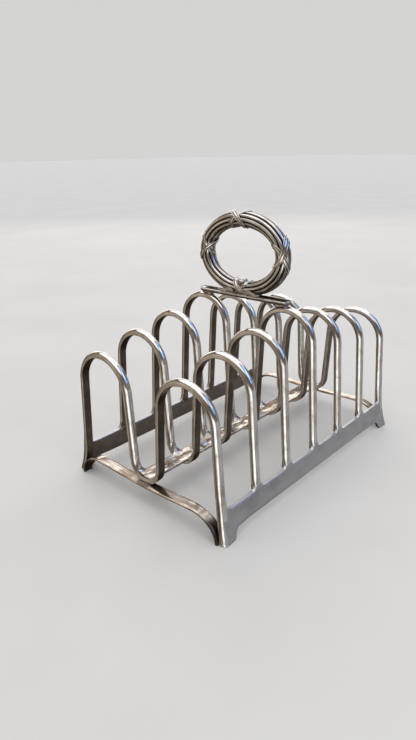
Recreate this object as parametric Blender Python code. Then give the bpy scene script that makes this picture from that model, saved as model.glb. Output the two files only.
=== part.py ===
"""Six-slice silver-plated toast rack: seven double-arch hoops on two side rails, with a wreath ring.

Built in metres, +Z up. X runs across the rack (left to right seen from the front), Y runs along it
(front to back), and the feet stand on Z = 0. The rack is symmetric about X = 0 and Y = 0.
"""
import math

import bmesh
import bpy
from mathutils import Vector

MM = 0.001
GAP = 0.3 * MM                    # clearance left between pieces that are soldered together
MERGE = 0.01 * MM                 # points closer than this become one after a union

# hoops (bent from half-round wire: flat face inside the arch, rounded face outside)
HOOP_COUNT = 7
HOOP_PITCH = 25.0 * MM
HOOP_TOPS = [72.8 * MM, 78.3 * MM, 83.2 * MM, 88.9 * MM]   # crown height, end hoop to middle hoop
WIRE_WIDTH = 4.7 * MM             # along Y
WIRE_THICK = 3.2 * MM             # in the plane of the hoop
WIRE_ROUND_STEPS = 8              # facets over the rounded face
OUTER_LEG_X = 47.8 * MM           # wire centre at the rail top
OUTER_LEG_LEAN = 0.067            # legs lean inward going up
INNER_LEG_X = 8.2 * MM
INNER_LEG_LEAN = 0.060            # inner legs lean outward going up
ARCH_STEPS = 15
U_STEPS = 10
U_BOTTOM = 11.6 * MM              # underside of the middle bend, just over the end bar
LEG_FLARE_LENGTH = 4.0 * MM       # solder fillet where a leg lands on the rail
LEG_FLARE_WIDTH = 2.6 * MM
LEG_FLARE_STEPS = 3

# feet (the outer legs of the two end hoops run down to the table)
FOOT_SPLAY_START = 14.0 * MM
FOOT_SPLAY = 2.0 * MM
FOOT_TOE = 2.2 * MM               # extra width of the leg at the table, on the outer side only
FOOT_STEPS = 6

# side rails
RAIL_TOP = 15.5 * MM
RAIL_BOTTOM = 4.5 * MM
RAIL_THICK = 1.8 * MM
RAIL_OUTER_X = 49.3 * MM
RAIL_LEVELS = 6
RAIL_EDGE_BEVEL = 0.3 * MM
RAIL_END_Y = 72.4 * MM
RAIL_FOOT_INNER_Y = 69.6 * MM     # where the bracket foot leaves the table
COVE_START_Y = 69.2 * MM
COVE_RADIUS = 3.4 * MM
COVE_STEPS = 6
RAIL_SPAN_STEPS = 6

# end bars (flat strip, bowed up a little from the middle to the bends) and centre bar
END_BAR_TOP = 11.3 * MM           # at the middle
END_BAR_RISE = 1.4 * MM           # how much higher it is where the bends start
BAR_THICK = 1.4 * MM
END_BAR_FRONT_Y = 79.6 * MM
END_BAR_BACK_Y = 74.4 * MM
END_BAR_FLAT_X = 33.0 * MM
END_BAR_BEND_X = 14.7 * MM
END_BAR_BEND_STEPS = 10
END_BAR_SPAN_STEPS = 8
BAR_EDGE_BEVEL = 0.25 * MM
CENTRE_BAR_END_Y = 76.2 * MM
CENTRE_BAR_HALF_WIDTH = 4.8 * MM
CENTRE_BAR_TOP = 15.4 * MM
CENTRE_BAR_BOTTOM = 14.2 * MM
CENTRE_BAR_DISH = 0.2 * MM
NOTCH_HALF_WIDTH = 1.9 * MM       # the bar is cut narrow and thin where it lies in each hoop's bend
NOTCH_TOP = 15.95 * MM
NOTCH_BOTTOM = 15.3 * MM
NOTCH_HALF_LENGTH = 2.8 * MM
NOTCH_SLOPE = 0.7 * MM

# handle bar (a shallow trough soldered across the two crowns of the middle hoop)
TROUGH_HALF_LENGTH = 29.6 * MM
TROUGH_HALF_WIDTH = 3.6 * MM
TROUGH_BASE_HALF_WIDTH = 1.9 * MM
TROUGH_RIM = 91.4 * MM
TROUGH_SHOULDER = 1 / 3           # share of the wall's height where it turns upright
TROUGH_FLOOR = 0.7 * MM
TROUGH_WALL = 0.8 * MM
TROUGH_LIP = 0.2 * MM             # how far the inner edge of the rim is rounded down
TROUGH_END_ROUND = 2.6 * MM
TROUGH_END_TAPER = 0.4            # how much narrower the trough is at its very tip
TROUGH_END_STEPS = 5
TROUGH_SPAN_STEPS = 6

# wreath ring (an upright oval of reeds, wider than it is tall)
RING_CENTRE_Z = 112.2 * MM
RING_HALF_WIDTH = 24.8 * MM       # to the middle of the tube
RING_HALF_HEIGHT = 17.9 * MM
RING_TUBE_RADIUS = 4.05 * MM
REED_COUNT = 10
REED_DEPTH = 0.6 * MM
REED_POINTS = 4
RING_STEPS = 60

# crossed ribbon ties round the ring
TIE_ANGLES = {"top": 90.0, "left": 172.0, "right": 12.0, "bottom": 270.0}
TIE_CROSSING = {"top": 50.0, "left": 135.0, "right": 40.0, "bottom": 90.0}
TIE_SPREAD = {"top": 3.0 * MM, "left": 3.4 * MM, "right": 3.4 * MM, "bottom": 5.2 * MM}
TIE_BAND_WIDTH = 2.2 * MM
TIE_BAND_THICK = 0.75 * MM
TIE_BAND_CROWN = 0.15 * MM        # extra thickness along the middle of a band
TIE_BAND_STEP = 0.25 * MM         # the second band rides a little over the first
TIE_STEPS = 24
TIE_OPEN_HALF_ANGLE = 64.0        # the bottom tie leaves this much open below, over the trough

# boss and ribbon tails at the foot of the ring
BOSS_RADIUS = 2.6 * MM
BOSS_HEIGHT = 2.3 * MM
BOSS_TILT = 16.0
BOSS_STEPS = 20
BOSS_PROFILE_STEPS = 6
TAIL_START_X = 3.4 * MM
TAIL_LENGTH = 10.5 * MM
TAIL_FRONT_Y = -5.0 * MM
TAIL_DRIFT_Y = 0.7 * MM
TAIL_Z = 92.9 * MM
TAIL_WAVE = 0.45 * MM
TAIL_WIDTH = 2.0 * MM
TAIL_THICK = 0.9 * MM
TAIL_STEPS = 14
TAIL_SIDES = 8
TAIL_TIP = 0.35                   # width left at the tip, as a share

# roughness and the sharpest angle shaded as a curve, in degrees
WIRE_LOOK = (0.16, 50)
RAIL_LOOK = (0.38, 35)
BAR_LOOK = (0.18, 35)
RING_LOOK = (0.20, 60)
RIBBON_LOOK = (0.22, 45)
BOSS_LOOK = (0.12, 60)

SILVER = (0.80, 0.78, 0.74, 1.0)
DULL_SILVER = (0.55, 0.54, 0.53, 1.0)
COLLECTION = "toast_rack"


def clear_scene():
    for obj in list(bpy.data.objects):
        bpy.data.objects.remove(obj, do_unlink=True)


def make_collection(name):
    collection = bpy.data.collections.new(name)
    bpy.context.scene.collection.children.link(collection)
    return collection


def make_material(name, colour, roughness):
    material = bpy.data.materials.new(name)
    material.use_nodes = True
    shader = material.node_tree.nodes["Principled BSDF"]
    shader.inputs["Base Color"].default_value = colour
    shader.inputs["Metallic"].default_value = 1.0
    shader.inputs["Roughness"].default_value = roughness
    return material


def finish(obj, colour, look):
    """Give the piece its material, and smooth shading that keeps the real edges."""
    roughness, sharp_angle = look
    obj.data.materials.clear()
    obj.data.materials.append(make_material(obj.name + "_finish", colour, roughness))
    for face in obj.data.polygons:
        face.use_smooth = True
    obj.data.set_sharp_from_angle(angle=math.radians(sharp_angle))
    return obj


def loft(name, sections, loop=False):
    """Skin a list of equal-length closed sections; capped at both ends unless the loft is a loop."""
    mesh = bpy.data.meshes.new(name)
    body = bmesh.new()
    rings = [[body.verts.new(point) for point in section] for section in sections]
    count = len(rings[0])
    pairs = list(zip(rings, rings[1:])) + ([(rings[-1], rings[0])] if loop else [])
    for lower, upper in pairs:
        for i in range(count):
            j = (i + 1) % count
            body.faces.new((lower[i], lower[j], upper[j], upper[i]))
    if not loop:
        body.faces.new(list(reversed(rings[0])))
        body.faces.new(rings[-1])
    bmesh.ops.recalc_face_normals(body, faces=body.faces)
    body.to_mesh(mesh)
    body.free()
    obj = bpy.data.objects.new(name, mesh)
    parts.objects.link(obj)
    return obj


def linear(start, end, steps):
    return [start + (end - start) * i / steps for i in range(steps + 1)]


def smooth_step(share):
    return share * share * (3 - 2 * share)


def half_round_section(centre, outward, width_in, width_out, flip):
    """Wire section: a flat face at the inner side and a half ellipse on the outer side.

    width_in and width_out are the half widths towards and away from the middle of the rack.
    """
    points = []
    for i in range(WIRE_ROUND_STEPS + 1):
        angle = math.pi * i / WIRE_ROUND_STEPS
        across = math.cos(angle)
        side = across * (width_out if across > 0 else width_in)
        lift = -WIRE_THICK / 2 + WIRE_THICK * math.sin(angle)
        points.append(centre + outward * lift + Vector((0, flip * side, 0)))
    return points


def hoop_path(top, is_end):
    """Right half of a hoop, from its outer foot to the bottom of the middle U: (point, outward, z)."""
    crown = top - WIRE_THICK / 2
    lean_out = math.atan(OUTER_LEG_LEAN)
    lean_in = math.atan(INNER_LEG_LEAN)
    rise = crown - RAIL_TOP
    lean_sum = OUTER_LEG_LEAN + INNER_LEG_LEAN
    radius = (OUTER_LEG_X - INNER_LEG_X - lean_sum * rise) / (
        1 / math.cos(lean_out) + 1 / math.cos(lean_in) - lean_sum)
    centre_z = crown - radius
    centre_x = OUTER_LEG_X - OUTER_LEG_LEAN * (centre_z - RAIL_TOP) - radius / math.cos(lean_out)

    path = []
    sideways = Vector((1, 0, 0))
    if is_end:
        for z in linear(0.0, FOOT_SPLAY_START, FOOT_STEPS):
            splay = FOOT_SPLAY * (1 - z / FOOT_SPLAY_START) ** 2
            x = OUTER_LEG_X - OUTER_LEG_LEAN * (z - RAIL_TOP) + splay
            path.append((Vector((x, 0, z)), sideways))
    else:
        base = RAIL_TOP + GAP
        for z in linear(base, base + LEG_FLARE_LENGTH, LEG_FLARE_STEPS):
            path.append((Vector((OUTER_LEG_X - OUTER_LEG_LEAN * (z - RAIL_TOP), 0, z)), sideways))
    for angle in linear(lean_out, math.pi - lean_in, ARCH_STEPS):
        outward = Vector((math.cos(angle), 0, math.sin(angle)))
        path.append((Vector((centre_x, 0, centre_z)) + outward * radius, outward))

    bottom = U_BOTTOM + WIRE_THICK / 2
    u_radius = math.cos(lean_in) * (INNER_LEG_X + INNER_LEG_LEAN * (bottom - RAIL_TOP)) / (
        1 - math.cos(lean_in) * INNER_LEG_LEAN)
    u_centre = Vector((0, 0, bottom + u_radius))
    for angle in linear(-lean_in, -math.pi / 2, U_STEPS // 2):
        arm = Vector((math.cos(angle), 0, math.sin(angle)))
        path.append((u_centre + arm * u_radius, -arm))
    return path


def mirror_x(vector):
    return Vector((-vector.x, vector.y, vector.z))


def build_hoop(index):
    rank = min(index, HOOP_COUNT - 1 - index)
    is_end = rank == 0
    y = (index - (HOOP_COUNT - 1) / 2) * HOOP_PITCH
    away = -1.0 if y < 0 else 1.0
    right = hoop_path(HOOP_TOPS[rank], is_end)
    left = [(mirror_x(point), mirror_x(outward)) for point, outward in reversed(right[:-1])]
    sections = []
    for point, outward in right + left:
        width_in = width_out = WIRE_WIDTH / 2
        on_outer_leg = abs(point.x) > OUTER_LEG_X - 2 * WIRE_THICK
        if on_outer_leg and is_end:
            toe = max(0.0, 1 - point.z / FOOT_SPLAY_START) ** 2
            width_out += FOOT_TOE * toe
        elif on_outer_leg:
            drop = max(0.0, 1 - (point.z - RAIL_TOP - GAP) / LEG_FLARE_LENGTH) ** 2
            width_in += LEG_FLARE_WIDTH / 2 * drop
            width_out += LEG_FLARE_WIDTH / 2 * drop
        centre = point + Vector((0, y, 0))
        sections.append(half_round_section(centre, outward, width_in, width_out, away))
    obj = loft(f"hoop_{index + 1}", sections)
    return finish(obj, SILVER, WIRE_LOOK)


def rail_splay(z):
    return FOOT_SPLAY * max(0.0, 1 - z / FOOT_SPLAY_START) ** 2 + OUTER_LEG_LEAN * max(0.0, RAIL_BOTTOM - z)


def rail_profile():
    """(y, bottom z) along one half of the rail, from the leg to the middle."""
    profile = [(RAIL_END_Y, 0.0), (RAIL_FOOT_INNER_Y, 0.0)]
    for i in range(COVE_STEPS + 1):
        angle = math.pi / 2 * i / COVE_STEPS
        y = COVE_START_Y - COVE_RADIUS * (1 - math.cos(angle))
        profile.append((y, RAIL_BOTTOM - COVE_RADIUS * (1 - math.sin(angle))))
    last_y = profile[-1][0]
    profile += [(y, RAIL_BOTTOM) for y in linear(last_y, 0.0, RAIL_SPAN_STEPS)[1:]]
    return profile


def build_side_rail(name, side):
    half = rail_profile()
    stations = [(-y, z) for y, z in half] + [(y, z) for y, z in reversed(half[:-1])]
    bevel = RAIL_EDGE_BEVEL
    sections = []
    for y, bottom in stations:
        levels = linear(bottom + bevel, RAIL_TOP - bevel, RAIL_LEVELS)
        outer = [(RAIL_OUTER_X + rail_splay(z), z) for z in levels]
        inner = [(x - RAIL_THICK, z) for x, z in reversed(outer)]
        base_x = RAIL_OUTER_X + rail_splay(bottom)
        ring = [(base_x - RAIL_THICK + bevel, bottom), (base_x - bevel, bottom)] + outer
        ring += [(RAIL_OUTER_X - bevel, RAIL_TOP), (RAIL_OUTER_X - RAIL_THICK + bevel, RAIL_TOP)] + inner
        sections.append([Vector((side * x, y, z)) for x, z in ring])
    return finish(loft(name, sections), DULL_SILVER, RAIL_LOOK)


def strip_section(centre, up, depth_low, depth_high, thick, bevel):
    """Flat strip section: thick along `up`, running from depth_low to depth_high along Y."""
    half = thick / 2
    corners = [
        (depth_low, half - bevel), (depth_low + bevel, half), (depth_high - bevel, half),
        (depth_high, half - bevel), (depth_high, bevel - half), (depth_high - bevel, -half),
        (depth_low + bevel, -half), (depth_low, bevel - half)]
    return [centre + up * lift + Vector((0, y, 0)) for y, lift in corners]


def build_end_bar(name, side):
    mid_z = END_BAR_TOP - BAR_THICK / 2
    bend_z = mid_z + END_BAR_RISE
    half = []
    for i in range(END_BAR_BEND_STEPS + 1):
        angle = math.pi / 2 * (1 - i / END_BAR_BEND_STEPS)
        point = Vector((END_BAR_FLAT_X + END_BAR_BEND_X * math.sin(angle), 0, bend_z * math.cos(angle)))
        up = Vector((math.sin(angle) / END_BAR_BEND_X, 0, math.cos(angle) / bend_z)).normalized()
        half.append((point, up))
    for x in linear(END_BAR_FLAT_X, 0.0, END_BAR_SPAN_STEPS // 2)[1:]:
        share = x / END_BAR_FLAT_X
        half.append((Vector((x, 0, mid_z + END_BAR_RISE * smooth_step(share))), Vector((0, 0, 1))))
    left = [(mirror_x(point), mirror_x(up)) for point, up in reversed(half[:-1])]
    low, high = sorted((side * END_BAR_FRONT_Y, side * END_BAR_BACK_Y))
    sections = [strip_section(p, up, low, high, BAR_THICK, BAR_EDGE_BEVEL) for p, up in half + left]
    return finish(loft(name, sections), SILVER, BAR_LOOK)


def centre_bar_section(y, half_width, top, bottom):
    b = BAR_EDGE_BEVEL
    middle = top - CENTRE_BAR_DISH
    half = [(half_width / 2, middle), (half_width - b, top), (half_width, top - b), (half_width, bottom + b),
            (half_width - b, bottom)]
    return [Vector((x, y, z)) for x, z in half] + [Vector((-x, y, z)) for x, z in reversed(half)]


def build_centre_bar():
    """Strip along the middle; it lies in the bends of the hoops, and is notched to fit them."""
    wide = (CENTRE_BAR_HALF_WIDTH, CENTRE_BAR_TOP, CENTRE_BAR_BOTTOM)
    notch = (NOTCH_HALF_WIDTH, NOTCH_TOP, NOTCH_BOTTOM)
    sections = [centre_bar_section(-CENTRE_BAR_END_Y, *notch)]
    for index in range(HOOP_COUNT):
        y = (index - (HOOP_COUNT - 1) / 2) * HOOP_PITCH
        for offset, shape in ((-NOTCH_HALF_LENGTH - NOTCH_SLOPE, wide), (-NOTCH_HALF_LENGTH, notch),
                              (NOTCH_HALF_LENGTH, notch), (NOTCH_HALF_LENGTH + NOTCH_SLOPE, wide)):
            if abs(y + offset) < CENTRE_BAR_END_Y:
                sections.append(centre_bar_section(y + offset, *shape))
    sections.append(centre_bar_section(CENTRE_BAR_END_Y, *notch))
    return finish(loft("centre_bar", sections), SILVER, BAR_LOOK)


def build_handle_bar():
    """Trough: its floor climbs to the rim at both ends, so the hollow is closed by rounded walls."""
    base = HOOP_TOPS[-1] + GAP
    stations = []
    for i in range(TROUGH_END_STEPS + 1):
        angle = math.pi / 2 * i / TROUGH_END_STEPS
        x = TROUGH_HALF_LENGTH - TROUGH_END_ROUND * (1 - math.cos(angle))
        stations.append((x, 1 - TROUGH_END_TAPER * (1 - math.sin(angle)), math.sin(angle)))
    for x in linear(stations[-1][0], 0.0, TROUGH_SPAN_STEPS // 2)[1:]:
        stations.append((x, 1.0, 1.0))
    mirrored = [(-x, width, depth) for x, width, depth in reversed(stations[:-1])]
    sections = []
    for x, width, depth in stations + mirrored:
        rim_y = TROUGH_HALF_WIDTH * width
        base_y = TROUGH_BASE_HALF_WIDTH * width
        inner_y = rim_y - TROUGH_WALL
        floor_y = base_y - TROUGH_WALL / 2
        rim_in = TROUGH_RIM - TROUGH_LIP
        floor = rim_in - (rim_in - base - TROUGH_FLOOR) * depth
        shoulder = base + (TROUGH_RIM - base) * TROUGH_SHOULDER
        half = [(base_y, base), (rim_y - TROUGH_WALL / 2, shoulder), (rim_y, TROUGH_RIM - TROUGH_WALL / 2),
                (rim_y - TROUGH_WALL / 2, TROUGH_RIM), (inner_y, rim_in), (floor_y, floor)]
        ring = half + [(-y, z) for y, z in reversed(half)]
        sections.append([Vector((x, y, z)) for y, z in ring])
    return finish(loft("handle_bar", sections), SILVER, BAR_LOOK)


def ring_frame(angle):
    """Point on the oval centreline, its outward direction and its running direction."""
    x = RING_HALF_WIDTH * math.cos(angle)
    point = Vector((x, 0, RING_CENTRE_Z + RING_HALF_HEIGHT * math.sin(angle)))
    along = Vector((-RING_HALF_WIDTH * math.sin(angle), 0, RING_HALF_HEIGHT * math.cos(angle))).normalized()
    outward = Vector((along.z, 0, -along.x))
    return point, outward, along


def tube_point(angle, around, radius):
    """around = 0 faces outward from the ring, 90 degrees faces the front."""
    point, outward, _ = ring_frame(angle)
    return point + outward * (radius * math.cos(around)) + Vector((0, -radius * math.sin(around), 0))


def build_ring():
    sections = []
    count = REED_COUNT * REED_POINTS
    for i in range(RING_STEPS):
        angle = 2 * math.pi * i / RING_STEPS
        ring = []
        for k in range(count):
            around = 2 * math.pi * k / count
            crest = abs(math.cos(REED_COUNT * around / 2))
            ring.append(tube_point(angle, around, RING_TUBE_RADIUS - REED_DEPTH * (1 - crest)))
        sections.append(ring)
    return finish(loft("handle_ring", sections, loop=True), SILVER, RING_LOOK)


def band_sections(middle, crossing, spread, raised, start, stop, steps, loop):
    """Flat ribbon wound round the tube; it drifts along the ring by +-spread as it goes round."""
    inner = RING_TUBE_RADIUS + GAP + raised / 2
    outer = RING_TUBE_RADIUS + GAP + TIE_BAND_THICK + raised
    half = TIE_BAND_WIDTH / 2
    step_per_mm = 1 / math.hypot(RING_HALF_WIDTH * math.sin(middle), RING_HALF_HEIGHT * math.cos(middle))
    values = linear(start, stop, steps)
    sections = []
    for around in (values[:-1] if loop else values):
        drift = spread * math.sin(around - crossing)
        slope = spread * math.cos(around - crossing) / inner
        stretch = math.hypot(1, slope)
        section = []
        for radius, side in ((inner, -half), (outer, -half), (outer + TIE_BAND_CROWN, 0.0),
                             (outer, half), (inner, half)):
            turn = around - side * slope / stretch / inner
            shift = drift + side / stretch
            section.append(tube_point(middle + shift * step_per_mm, turn, radius))
        sections.append(section)
    return sections


def join_bodies(base, other):
    """Fuse `other` into `base` with an exact union, leaving one closed body."""
    union = base.modifiers.new("union", "BOOLEAN")
    union.operation = "UNION"
    union.solver = "EXACT"
    union.object = other
    bake(base)
    bpy.data.objects.remove(other, do_unlink=True)


def bake(obj):
    bpy.context.view_layer.update()
    graph = bpy.context.evaluated_depsgraph_get()
    mesh = bpy.data.meshes.new_from_object(obj.evaluated_get(graph))
    obj.modifiers.clear()
    obj.data = mesh
    body = bmesh.new()
    body.from_mesh(mesh)
    bmesh.ops.remove_doubles(body, verts=body.verts, dist=MERGE)
    body.to_mesh(mesh)
    body.free()


def build_tie(label):
    middle = math.radians(TIE_ANGLES[label])
    crossing = math.radians(TIE_CROSSING[label])
    bands = []
    for sign, raised in ((1, 0.0), (-1, TIE_BAND_STEP)):
        if label == "bottom":
            start = math.radians(TIE_OPEN_HALF_ANGLE)
            sections = band_sections(middle, crossing, sign * TIE_SPREAD[label], raised, start,
                                     2 * math.pi - start, TIE_STEPS, False)
        else:
            sections = band_sections(middle, crossing, sign * TIE_SPREAD[label], raised, 0.0,
                                     2 * math.pi, TIE_STEPS, True)
        bands.append(loft(f"ribbon_tie_{label}" if sign > 0 else "second_band", sections,
                          loop=label != "bottom"))
    join_bodies(*bands)
    return finish(bands[0], SILVER, RIBBON_LOOK)


def build_boss():
    """Domed boss seated on the inside of the ring, tipped towards the front."""
    tilt = math.radians(BOSS_TILT)
    bottom, outward, along = ring_frame(math.radians(TIE_ANGLES["bottom"]))
    axis = (-outward * math.cos(tilt) + Vector((0, -math.sin(tilt), 0))).normalized()
    side = along
    lift = axis.cross(side)
    seat = bottom + axis * (RING_TUBE_RADIUS + GAP)
    sections = []
    for i in range(BOSS_PROFILE_STEPS):
        angle = math.pi / 2 * i / BOSS_PROFILE_STEPS
        radius = BOSS_RADIUS * math.cos(angle)
        height = BOSS_HEIGHT * math.sin(angle)
        sections.append([seat + axis * height + side * (radius * math.cos(turn)) + lift * (
            radius * math.sin(turn)) for turn in linear(0.0, 2 * math.pi, BOSS_STEPS)[:-1]])
    return finish(loft("ring_boss", sections), SILVER, BOSS_LOOK)


def build_tail(name, side):
    sections = []
    for i in range(TAIL_STEPS + 1):
        t = i / TAIL_STEPS
        taper = 1 - (1 - TAIL_TIP) * t ** 2
        x = TAIL_START_X + TAIL_LENGTH * t
        y = TAIL_FRONT_Y + TAIL_DRIFT_Y * t
        z = TAIL_Z + TAIL_WAVE * math.sin(2 * math.pi * t)
        half_z = TAIL_WIDTH / 2 * taper
        half_y = TAIL_THICK / 2 * taper
        turns = linear(0.0, 2 * math.pi, TAIL_SIDES)[:-1]
        ring = [(half_y * math.cos(turn), half_z * math.sin(turn)) for turn in turns]
        sections.append([Vector((side * x, y + dy, z + dz)) for dy, dz in ring])
    return finish(loft(name, sections), SILVER, RING_LOOK)


clear_scene()
parts = make_collection(COLLECTION)
for hoop_index in range(HOOP_COUNT):
    build_hoop(hoop_index)
build_side_rail("side_rail_left", -1)
build_side_rail("side_rail_right", 1)
build_end_bar("end_bar_front", -1)
build_end_bar("end_bar_rear", 1)
build_centre_bar()
build_handle_bar()
build_ring()
for tie_label in TIE_ANGLES:
    build_tie(tie_label)
build_boss()
build_tail("ribbon_tail_left", -1)
build_tail("ribbon_tail_right", 1)
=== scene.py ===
"""Looks of the six-slice toast rack: silver-plated hoops, rails, bars and the reeded ring handle.

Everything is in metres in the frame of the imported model: X across, Y from front to back, Z up.
"""
import math

import bmesh
import bpy
from mathutils import Matrix, Vector, noise


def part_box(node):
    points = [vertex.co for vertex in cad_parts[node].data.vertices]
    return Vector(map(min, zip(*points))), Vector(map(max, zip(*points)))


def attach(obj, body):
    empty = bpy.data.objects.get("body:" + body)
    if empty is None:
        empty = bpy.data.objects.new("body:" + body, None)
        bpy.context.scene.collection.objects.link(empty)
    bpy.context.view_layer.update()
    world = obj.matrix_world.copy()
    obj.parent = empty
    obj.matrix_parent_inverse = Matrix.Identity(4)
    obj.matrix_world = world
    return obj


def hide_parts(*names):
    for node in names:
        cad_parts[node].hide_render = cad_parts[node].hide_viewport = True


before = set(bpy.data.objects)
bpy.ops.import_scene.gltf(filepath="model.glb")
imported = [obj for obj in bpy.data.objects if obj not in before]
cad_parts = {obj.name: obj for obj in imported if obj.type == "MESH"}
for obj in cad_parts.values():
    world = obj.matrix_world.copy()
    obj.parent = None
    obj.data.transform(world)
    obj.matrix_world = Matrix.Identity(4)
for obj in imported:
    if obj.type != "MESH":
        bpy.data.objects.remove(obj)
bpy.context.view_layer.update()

MM = 0.001
BODY = "root"

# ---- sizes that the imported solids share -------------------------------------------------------
WIRE_WIDTH = 4.7 * MM
WIRE_THICK = 3.2 * MM
WIRE_CORNER = 0.45 * MM
OUTER_LEG_X = 47.8 * MM
OUTER_LEG_LEAN = 0.067
INNER_LEG_X = 8.2 * MM
INNER_LEG_LEAN = 0.060
FOOT_SPLAY_START = 14.0 * MM
FOOT_SPLAY = 2.0 * MM
FOOT_TOE = 1.6 * MM
FOOT_CREASE = 0.8                 # where the flat outer side of a foot ends, as a share of the half width
RAIL_TOP = 15.5 * MM
RAIL_BOTTOM = 4.5 * MM
RAIL_THICK = 1.8 * MM
RAIL_OUTER_X = 49.3 * MM
RAIL_FOOT_INNER_Y = 69.6 * MM
COVE_START_Y = 69.2 * MM
COVE_RADIUS = 3.4 * MM
BAR_THICK = 1.4 * MM
END_BAR_FLAT_X = 33.0 * MM
END_BAR_BEND_X = 14.7 * MM
TROUGH_HALF_WIDTH = 3.6 * MM
TROUGH_BASE_HALF_WIDTH = 1.9 * MM
TROUGH_WALL = 0.8 * MM
TROUGH_END_ROUND = 2.6 * MM
RING_HALF_WIDTH = 24.8 * MM
RING_HALF_HEIGHT = 17.9 * MM
RING_TUBE_RADIUS = 4.05 * MM

HOOPS = [f"hoop_{number}" for number in range(1, 8)]
U_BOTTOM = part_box("hoop_2")[0].z - 0.3 * MM     # a little lower than in the solids, into the solder
HOOP_Y = [sum(corner.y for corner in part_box(name)) / 2 for name in HOOPS]
# the toes of the two end hoops reach outward only, so their places follow from the even pitch
HOOP_Y[0], HOOP_Y[-1] = HOOP_Y[1] * 2 - HOOP_Y[2], HOOP_Y[-2] * 2 - HOOP_Y[-3]
HOOP_TOP = [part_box(name)[1].z for name in HOOPS]
RING_CENTRE_Z = sum(corner.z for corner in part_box("handle_ring")) / 2


# ---- small helpers ----------------------------------------------------------------------------
def linear(start, end, steps):
    return [start + (end - start) * i / steps for i in range(steps + 1)]


def smooth_step(value):
    value = min(1.0, max(0.0, value))
    return value * value * (3 - 2 * value)


def wobble(point, size, seed=0.0):
    """Smooth noise about zero, the same every run."""
    return noise.noise(point / size + Vector((seed, seed * 0.7, -seed)))


def build(name, rings, shade_and_tarnish=None, closed=False):
    """Skin equal-length closed rings of points into one mesh; the darkening per point is painted shade in
    hollows, undersides and inward faces, with some tarnish.

    The attributes along and around hold each point's distance down the piece and round it.
    """
    body = bmesh.new()
    shade_and_tarnish_layer = body.verts.layers.float.new("shade_and_tarnish")
    along_layer = body.verts.layers.float.new("along")
    around_layer = body.verts.layers.float.new("around")
    rows = []
    along, last_centre = 0.0, None
    for i, ring in enumerate(rings):
        centre = sum(ring, Vector()) / len(ring)
        along += (centre - last_centre).length if last_centre is not None else 0.0
        last_centre = centre
        row, around = [], 0.0
        for k, point in enumerate(ring):
            around += (point - ring[k - 1]).length if k else 0.0
            vert = body.verts.new(point)
            vert[shade_and_tarnish_layer] = shade_and_tarnish[i][k] if shade_and_tarnish else 0.0
            vert[along_layer] = along
            vert[around_layer] = around
            row.append(vert)
        rows.append(row)
    count = len(rows[0])
    pairs = list(zip(rows, rows[1:])) + ([(rows[-1], rows[0])] if closed else [])
    for lower, upper in pairs:
        for k in range(count):
            j = (k + 1) % count
            body.faces.new((lower[k], lower[j], upper[j], upper[k]))
    if not closed:
        for row in (rows[0], rows[-1]):
            hub = body.verts.new(sum((vert.co for vert in row), Vector()) / count)
            for layer in (shade_and_tarnish_layer, along_layer, around_layer):
                hub[layer] = sum(vert[layer] for vert in row) / count
            for k in range(count):
                body.faces.new((row[k], row[(k + 1) % count], hub))
    bmesh.ops.recalc_face_normals(body, faces=body.faces)
    mesh = bpy.data.meshes.new(name)
    body.to_mesh(mesh)
    body.free()
    for face in mesh.polygons:
        face.use_smooth = True
    obj = bpy.data.objects.new(name, mesh)
    bpy.context.scene.collection.objects.link(obj)
    return obj


def settle(obj, material, slot, *nodes, sharp=None):
    """Give a piece its material and its body, and hide what it stands for. The slot argument is not used."""
    obj.data.materials.append(material)
    if sharp:
        obj.data.set_sharp_from_angle(angle=math.radians(sharp))
    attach(obj, BODY)
    if nodes:
        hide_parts(*nodes)
    return obj


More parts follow.
